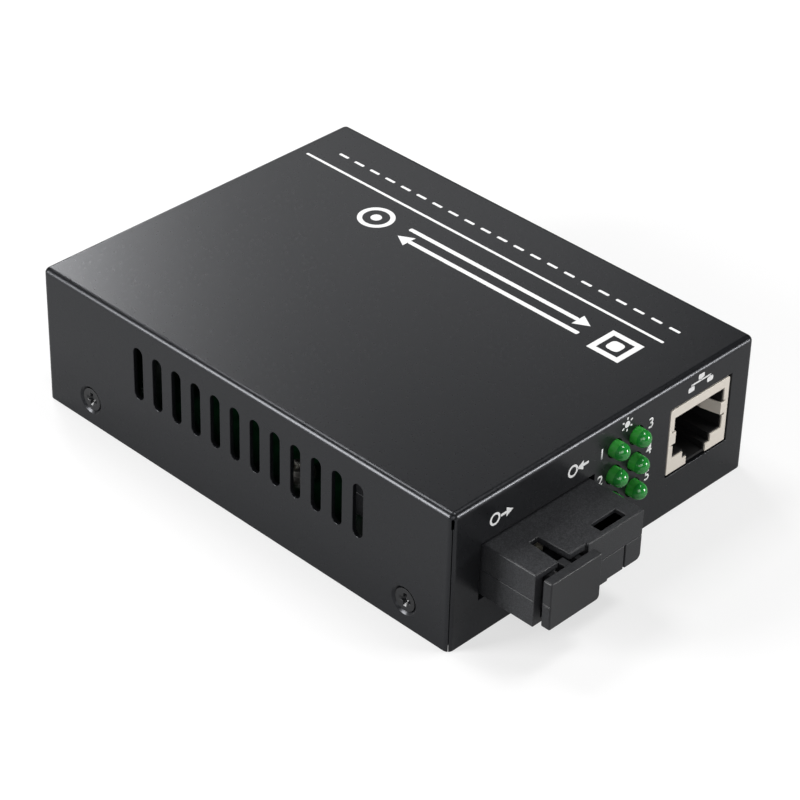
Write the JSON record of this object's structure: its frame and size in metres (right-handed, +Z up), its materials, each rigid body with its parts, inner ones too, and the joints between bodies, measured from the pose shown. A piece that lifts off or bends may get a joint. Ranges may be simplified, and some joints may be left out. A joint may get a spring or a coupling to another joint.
{
  "type": "fibre media converter",
  "caption": "Small black steel box joining a copper network line to an optical fibre: shielded socket, status lights, fibre port with pull-out dust plug, slotted sides, low-voltage inlet.",
  "frame": {"origin": "centre of the case's footprint, on the surface that it stands on", "axes": "+X to the right seen from the front; -Y out of the front face with the ports and lights; +Z up"},
  "size_m": [0.07, 0.1072, 0.026],
  "materials": {
    "block_metal": "turned",
    "board_laminate": "green solder resist",
    "can_aluminium": "satin",
    "can_metal": "gold-plated",
    "capacitor_tan": "matte",
    "case_paint": "satin black, fine texture",
    "chip_epoxy": "matte",
    "clip_plastic": "natural",
    "contact_gold": "gold-plated",
    "ferrite": "matte",
    "green_lens": "clear green",
    "holder_plastic": "matte black",
    "jack_metal": "nickel",
    "jack_plastic": "matte black",
    "module_plastic": "matte black, fine texture",
    "plated_steel": "satin",
    "plug_plastic": "matte black",
    "resistor_black": "matte",
    "screw_steel": "satin",
    "socket_plastic": "matte black",
    "socket_shield": "bright nickel",
    "tinned_wire": "tinned",
    "white_ceramic": "polished"
  },
  "bodies": {
    "case": {"alignment_sleeve": "white_ceramic", "base_plate": "case_paint", "board_screws": "plated_steel", "board_standoffs": "plated_steel", "chip_capacitors": "capacitor_tan", "chip_resistors": "resistor_black", "converter_chip": "chip_epoxy", "converter_chip_leads": "tinned_wire", "cover_screws": "screw_steel", "crystal": "plated_steel", "detector_can": "can_metal", "fibre_stub": "white_ceramic", "filter_capacitor_1": "can_aluminium", "filter_capacitor_2": "can_aluminium", "filter_capacitor_3": "can_aluminium", "laser_can": "can_metal", "led_holder": "holder_plastic", "led_leads_1": "tinned_wire", "led_leads_2": "tinned_wire", "led_leads_3": "tinned_wire", "led_leads_4": "tinned_wire", "led_leads_5": "tinned_wire", "led_leads_6": "tinned_wire", "led_lens_1": "green_lens", "led_lens_2": "green_lens", "led_lens_3": "green_lens", "led_lens_4": "green_lens", "led_lens_5": "green_lens", "led_lens_6": "green_lens", "magnetics_body": "chip_epoxy", "magnetics_leads": "tinned_wire", "main_board": "board_laminate", "module_board": "board_laminate", "module_chip": "chip_epoxy", "module_lower_housing": "module_plastic", "module_pins": "contact_gold", "module_upper_housing": "module_plastic", "optical_block": "block_metal", "power_inductor": "ferrite", "power_jack_housing": "jack_plastic", "power_jack_pin": "jack_metal", "power_jack_spring": "jack_metal", "rectifier_diode": "chip_epoxy", "regulator": "chip_epoxy", "regulator_leads": "tinned_wire", "rj45_contacts": "contact_gold", "rj45_housing": "socket_plastic", "rj45_shield": "socket_shield", "sc_latch_insert": "clip_plastic", "switch_chip": "chip_epoxy", "switch_chip_leads": "tinned_wire", "top_cover": "case_paint"},
    "plug": {"dust_plug": "plug_plastic"}
  },
  "joints": [
    {"name": "dust_plug_pull", "type": "slide", "parent": "case", "child": "plug", "axis": [0, -1, 0], "range_m": [0, 0.03]}
  ]
}
